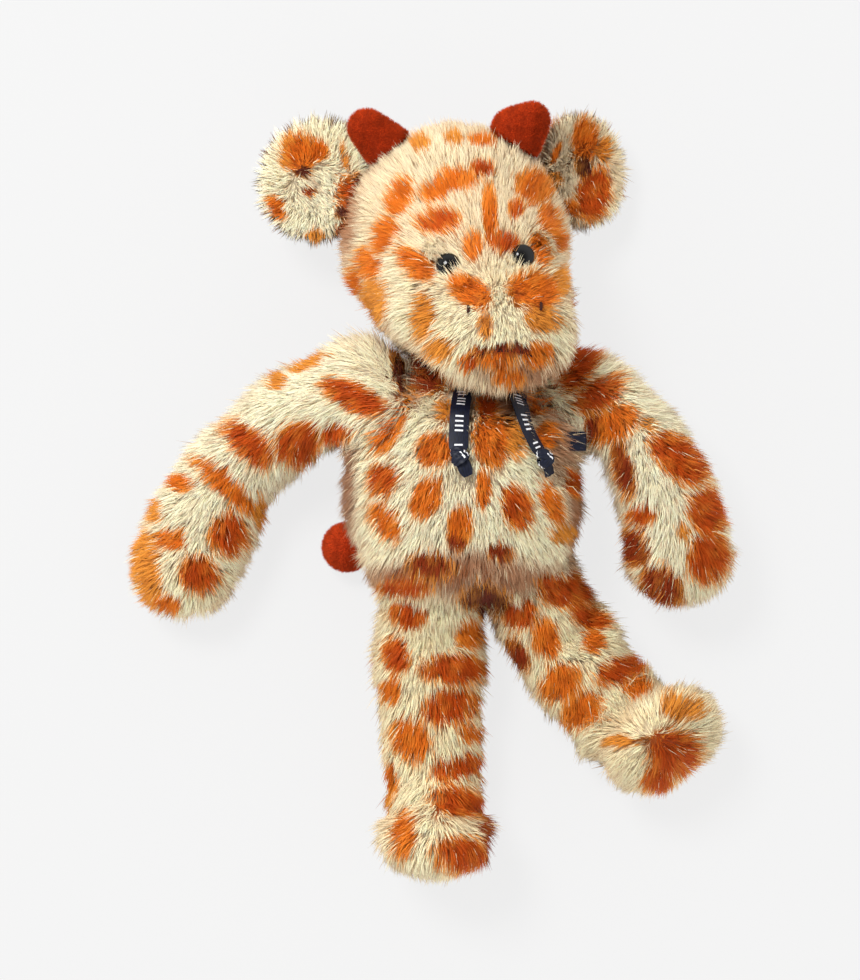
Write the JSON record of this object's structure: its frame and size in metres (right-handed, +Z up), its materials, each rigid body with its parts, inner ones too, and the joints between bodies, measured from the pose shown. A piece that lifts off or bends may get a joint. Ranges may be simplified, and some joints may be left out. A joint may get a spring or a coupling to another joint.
{
  "type": "plush giraffe",
  "caption": "Long-haired stuffed toy giraffe lying on its back, with jointed head, ears, arms, legs and tail, a neck ribbon and short velvet horns.",
  "frame": {"origin": "middle of the flat patch of the back that the toy lies on", "axes": "+Z up out of the belly, +Y towards the head, +X towards the toy's left side"},
  "size_m": [0.3169, 0.4042, 0.129],
  "materials": {
    "long_pile_fur": "long cream pile with rust brown spots",
    "rust_velvet": "short dense pile, rust red",
    "polyester_fibre": "loose white polyester fibre",
    "black_gloss": "polished black",
    "white_nylon": "moulded, matt",
    "brown_thread": "twisted thread",
    "navy_satin": "woven satin, slight sheen"
  },
  "bodies": {
    "torso": {"torso_skin": "long_pile_fur", "torso_stuffing": "polyester_fibre", "side_label": "navy_satin", "ribbon_band": "navy_satin"},
    "neck": {"neck_skin": "long_pile_fur", "neck_stuffing": "polyester_fibre"},
    "head": {"head_skin": "long_pile_fur", "head_stuffing": "polyester_fibre", "eye_right": "black_gloss", "eye_left": "black_gloss", "eye_washer_right": "white_nylon", "eye_washer_left": "white_nylon", "nostril_stitch_right": "brown_thread", "nostril_stitch_left": "brown_thread", "mouth_stitch": "brown_thread", "horn_right_skin": "rust_velvet", "horn_right_stuffing": "polyester_fibre", "horn_left_skin": "rust_velvet", "horn_left_stuffing": "polyester_fibre"},
    "ear_right": {"ear_right_inner": "long_pile_fur", "ear_right_outer": "long_pile_fur"},
    "ear_left": {"ear_left_inner": "long_pile_fur", "ear_left_outer": "long_pile_fur"},
    "arm_right": {"arm_right_skin": "long_pile_fur", "arm_right_stuffing": "polyester_fibre"},
    "arm_left": {"arm_left_skin": "long_pile_fur", "arm_left_stuffing": "polyester_fibre"},
    "leg_right": {"leg_right_skin": "long_pile_fur", "leg_right_stuffing": "polyester_fibre"},
    "leg_left": {"leg_left_skin": "long_pile_fur", "leg_left_stuffing": "polyester_fibre"},
    "tail": {"tail_cord": "rust_velvet", "tail_ball_skin": "rust_velvet", "tail_ball_stuffing": "polyester_fibre"},
    "ribbon_end_right": {"ribbon_end_right": "navy_satin"},
    "ribbon_end_left": {"ribbon_end_left": "navy_satin"}
  },
  "joints": [
    {"name": "neck_turn", "type": "hinge", "parent": "torso", "child": "neck", "pos_m": [0.00056, 0.0693, 0.047], "axis": [0, 1, 0], "range_deg": [-10, 4]},
    {"name": "head_nod", "type": "hinge", "parent": "neck", "child": "head", "pos_m": [0.00056, 0.0693, 0.047], "axis": [1, 0, 0], "range_deg": [0, 8]},
    {"name": "ear_right_flap", "type": "hinge", "parent": "head", "child": "ear_right", "pos_m": [-0.05503, 0.14693, 0.04818], "axis": [0.3833, 0.9221, 0.0539], "range_deg": [-10, 15]},
    {"name": "ear_left_flap", "type": "hinge", "parent": "head", "child": "ear_left", "pos_m": [0.04474, 0.15749, 0.04614], "axis": [0.2972, -0.9261, -0.2322], "range_deg": [-6, 15]},
    {"name": "arm_right_raise", "type": "hinge", "parent": "torso", "child": "arm_right", "pos_m": [-0.0467, 0.04663, 0.0552], "axis": [0, 0, -1], "range_deg": [-12, 40]},
    {"name": "arm_left_raise", "type": "hinge", "parent": "torso", "child": "arm_left", "pos_m": [0.05456, 0.04975, 0.04001], "axis": [0, 0, 1], "range_deg": [-6, 30]},
    {"name": "leg_right_lift", "type": "hinge", "parent": "torso", "child": "leg_right", "pos_m": [-0.0182, -0.06438, 0.0269], "axis": [-1, 0, 0], "range_deg": [0, 45]},
    {"name": "leg_left_lift", "type": "hinge", "parent": "torso", "child": "leg_left", "pos_m": [0.03882, -0.06279, 0.0269], "axis": [-1, 0, 0], "range_deg": [0, 45]},
    {"name": "tail_swing", "type": "hinge", "parent": "torso", "child": "tail", "pos_m": [-0.04644, -0.03191, 0.013], "axis": [0, 0, 1], "range_deg": [-8, 20]},
    {"name": "ribbon_right_lift", "type": "hinge", "parent": "torso", "child": "ribbon_end_right", "pos_m": [-0.0018, 0.048, 0.073], "axis": [-1, 0, 0], "range_deg": [0, 30]},
    {"name": "ribbon_left_lift", "type": "hinge", "parent": "torso", "child": "ribbon_end_left", "pos_m": [0.027, 0.0482, 0.065], "axis": [-1, 0, 0], "range_deg": [0, 25]}
  ]
}
